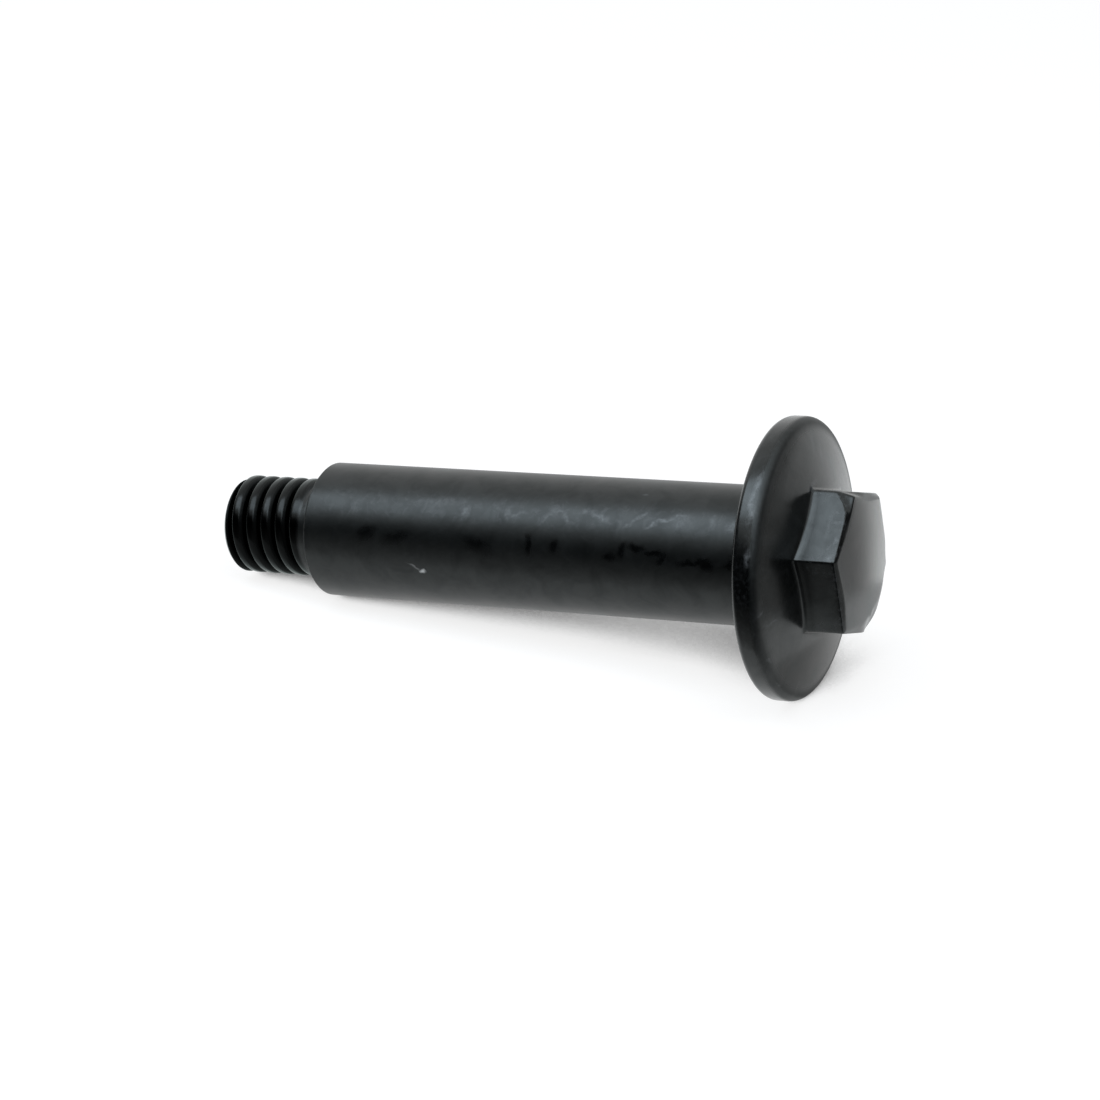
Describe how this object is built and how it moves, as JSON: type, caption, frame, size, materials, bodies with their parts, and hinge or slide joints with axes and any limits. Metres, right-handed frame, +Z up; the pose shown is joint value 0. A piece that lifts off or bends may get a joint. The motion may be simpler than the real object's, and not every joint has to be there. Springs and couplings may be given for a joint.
{
  "type": "shoulder bolt",
  "caption": "Steel shoulder bolt with a low hexagon head on a wide round flange, a long plain shoulder and a short threaded end.",
  "frame": {"origin": "on the floor, under the middle of the bolt as it lies on its flange's rim and on the far edge of its shoulder", "axes": "+Z up from the floor, +X the way the head points, level, and +Y across the bolt"},
  "size_m": [0.0642, 0.0254, 0.0253],
  "materials": {
    "black_oxide_steel": "black oxide over steel, oiled, semi-gloss, with pale rub marks on the shoulder"
  },
  "bodies": {
    "root": {"shoulder_bolt": "black_oxide_steel"}
  },
  "joints": []
}
